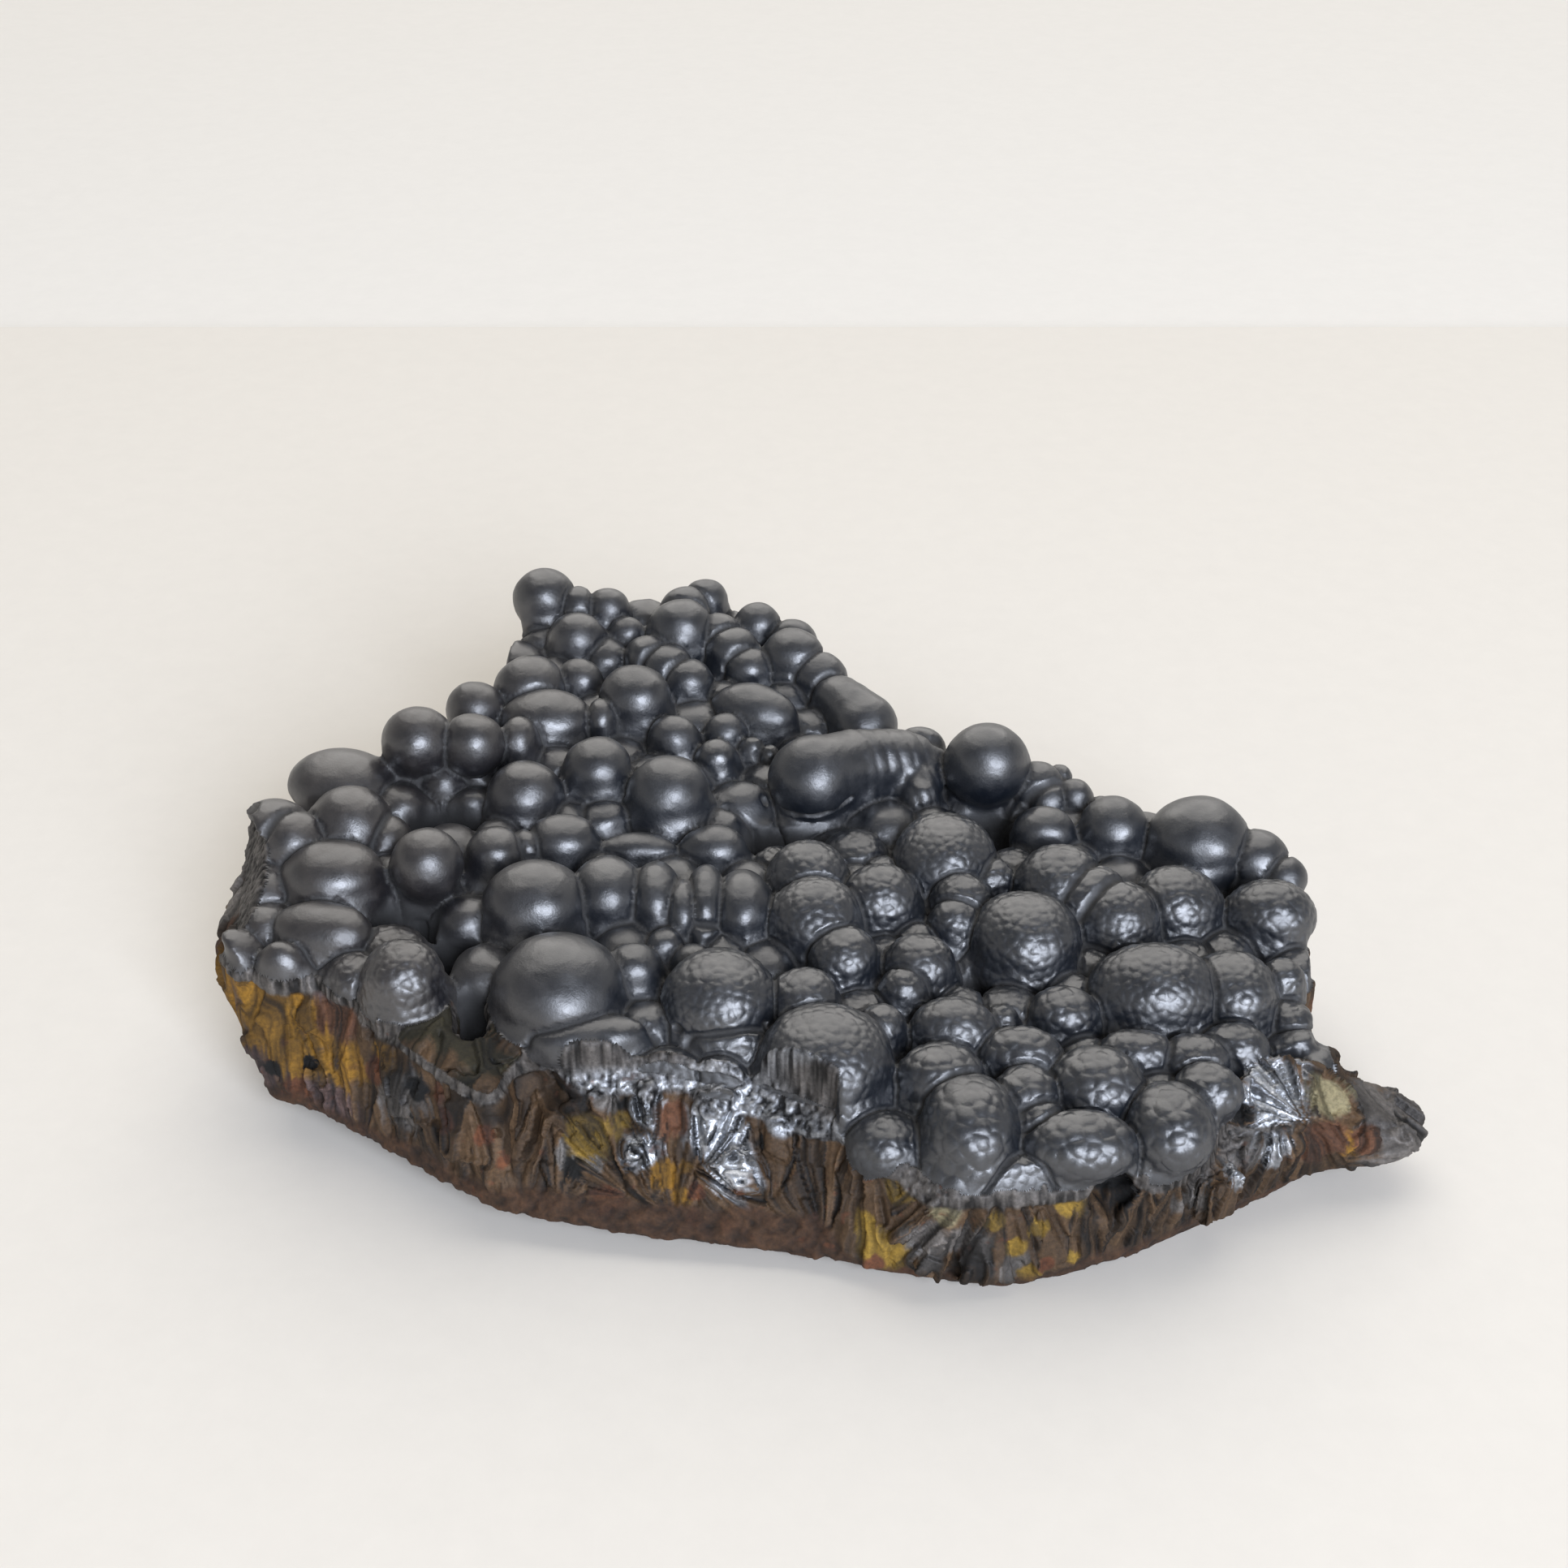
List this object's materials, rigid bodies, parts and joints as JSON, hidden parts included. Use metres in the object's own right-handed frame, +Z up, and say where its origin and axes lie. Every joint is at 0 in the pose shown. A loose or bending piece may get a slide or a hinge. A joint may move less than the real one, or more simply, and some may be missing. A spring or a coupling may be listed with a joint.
{
  "type": "botryoidal hematite specimen",
  "caption": "Hand-sized slab of dark grey hematite with a crust of rounded lumps on top and broken sides of radiating crystal fibres; rests on its flat underside.",
  "frame": {"origin": "middle of the box around the stone, at the level of the patch that it rests on", "axes": "+X to the right along the longest side, +Y to the back where the horn is, +Z up out of the lumpy crust"},
  "size_m": [0.1142, 0.0868, 0.0284],
  "materials": {
    "hematite": "dark steel-grey crust with a dull metallic shine, broken sides from silvery grey to ochre brown"
  },
  "bodies": {
    "root": {"hematite_specimen": "hematite"}
  },
  "joints": []
}
